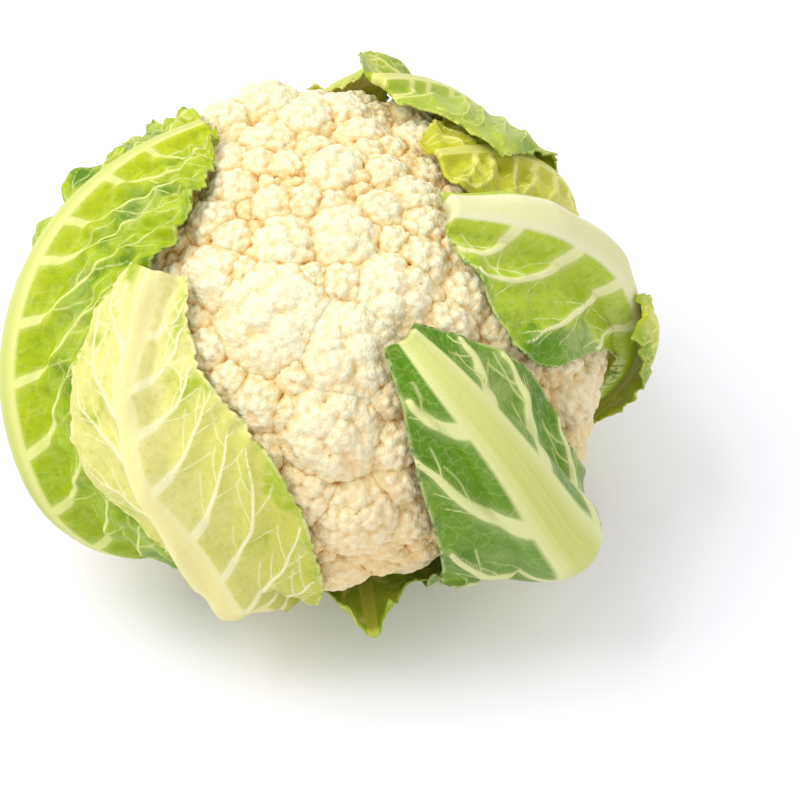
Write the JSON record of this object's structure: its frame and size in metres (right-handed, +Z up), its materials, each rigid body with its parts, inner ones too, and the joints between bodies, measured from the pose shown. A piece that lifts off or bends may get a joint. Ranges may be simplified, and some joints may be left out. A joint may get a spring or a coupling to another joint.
{
  "type": "cauliflower",
  "caption": "Trimmed whole cauliflower standing on its cut stem: a dense cream curd of florets, wrapped by green leaves with thick pale ribs.",
  "frame": {"origin": "centre of the stem's flat cut face, on the surface that the head stands on", "axes": "+Z up along the stem into the curd; -Y faces the picture's camera; +X is the picture's right"},
  "size_m": [0.2114, 0.1989, 0.1423],
  "materials": {
    "curd": "cream curd, finely granular and matte, tan in its creases",
    "stem": "pale green stem with a dry cut face",
    "leaf_left": "waxy bright green blade, pale yellow-green rib",
    "leaf_front_left": "waxy cream-yellow blade turning green towards its margin",
    "leaf_front_right": "waxy dark green blade, broad yellow-green rib",
    "leaf_right": "waxy green blade, pale thick rib",
    "leaf_back_right": "waxy grey-green blade with a toothed margin",
    "leaf_back": "waxy yellow-green blade",
    "leaf_back_left": "waxy yellow-green blade",
    "leaf_inner_right": "smooth yellow inner leaf with ridged veins",
    "leaf_small_right": "waxy mid green blade",
    "leaf_small_front": "smooth bright green blade"
  },
  "bodies": {
    "root": {"curd": "curd", "stem": "stem", "leaf_left": "leaf_left", "leaf_front_left": "leaf_front_left", "leaf_front_right": "leaf_front_right", "leaf_right": "leaf_right", "leaf_back_right": "leaf_back_right", "leaf_back": "leaf_back", "leaf_back_left": "leaf_back_left", "leaf_inner_right": "leaf_inner_right", "leaf_small_right": "leaf_small_right", "leaf_small_front": "leaf_small_front"}
  },
  "joints": []
}
